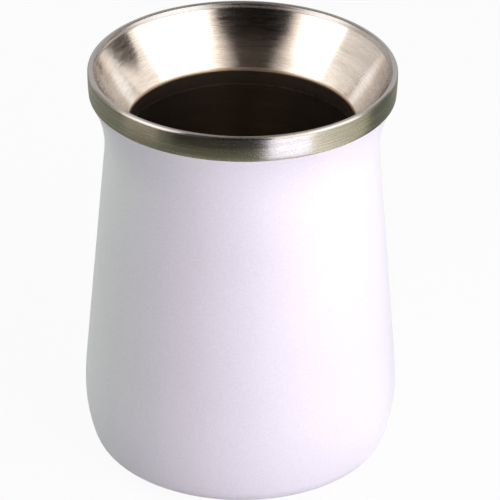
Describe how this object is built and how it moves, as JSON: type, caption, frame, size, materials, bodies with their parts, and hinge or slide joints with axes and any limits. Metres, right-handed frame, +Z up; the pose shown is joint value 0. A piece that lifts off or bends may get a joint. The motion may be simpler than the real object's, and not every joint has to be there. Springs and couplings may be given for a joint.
{
  "type": "mate cup",
  "caption": "Double-wall steel mate cup with a rolled bare rim, brushed funnel mouth, dark chamber and white coated body drawn in at the neck.",
  "frame": {"origin": "on the table under the cup's axis, at the middle of the foot ring's underside", "axes": "+Z up along the cup's axis; the cup is the same all round, and -Y is the side that the picture shows"},
  "size_m": [0.0822, 0.0822, 0.11],
  "materials": {
    "brushed_rim_steel": "fine circular brushing",
    "brushed_funnel_steel": "fine circular brushing",
    "white_powder_coat": "satin powder coat with fine grain",
    "satin_liner_steel": "satin steel that looks near black where it reflects itself",
    "base_steel": "spun brushing",
    "hidden_sheet_steel": "mill finish",
    "foil": "bright rolled foil",
    "seal_glass": "fused glass solder",
    "getter_alloy": "pressed metal powder in a steel ring"
  },
  "bodies": {
    "root": {"rim_ring": "brushed_rim_steel", "funnel": "brushed_funnel_steel", "outer_shell": "white_powder_coat", "liner_wall": "satin_liner_steel", "liner_bottom": "satin_liner_steel", "heat_shield": "foil", "middle_bottom": "hidden_sheet_steel", "seal_bead": "seal_glass", "getter": "getter_alloy", "base_cover": "base_steel"}
  },
  "joints": []
}
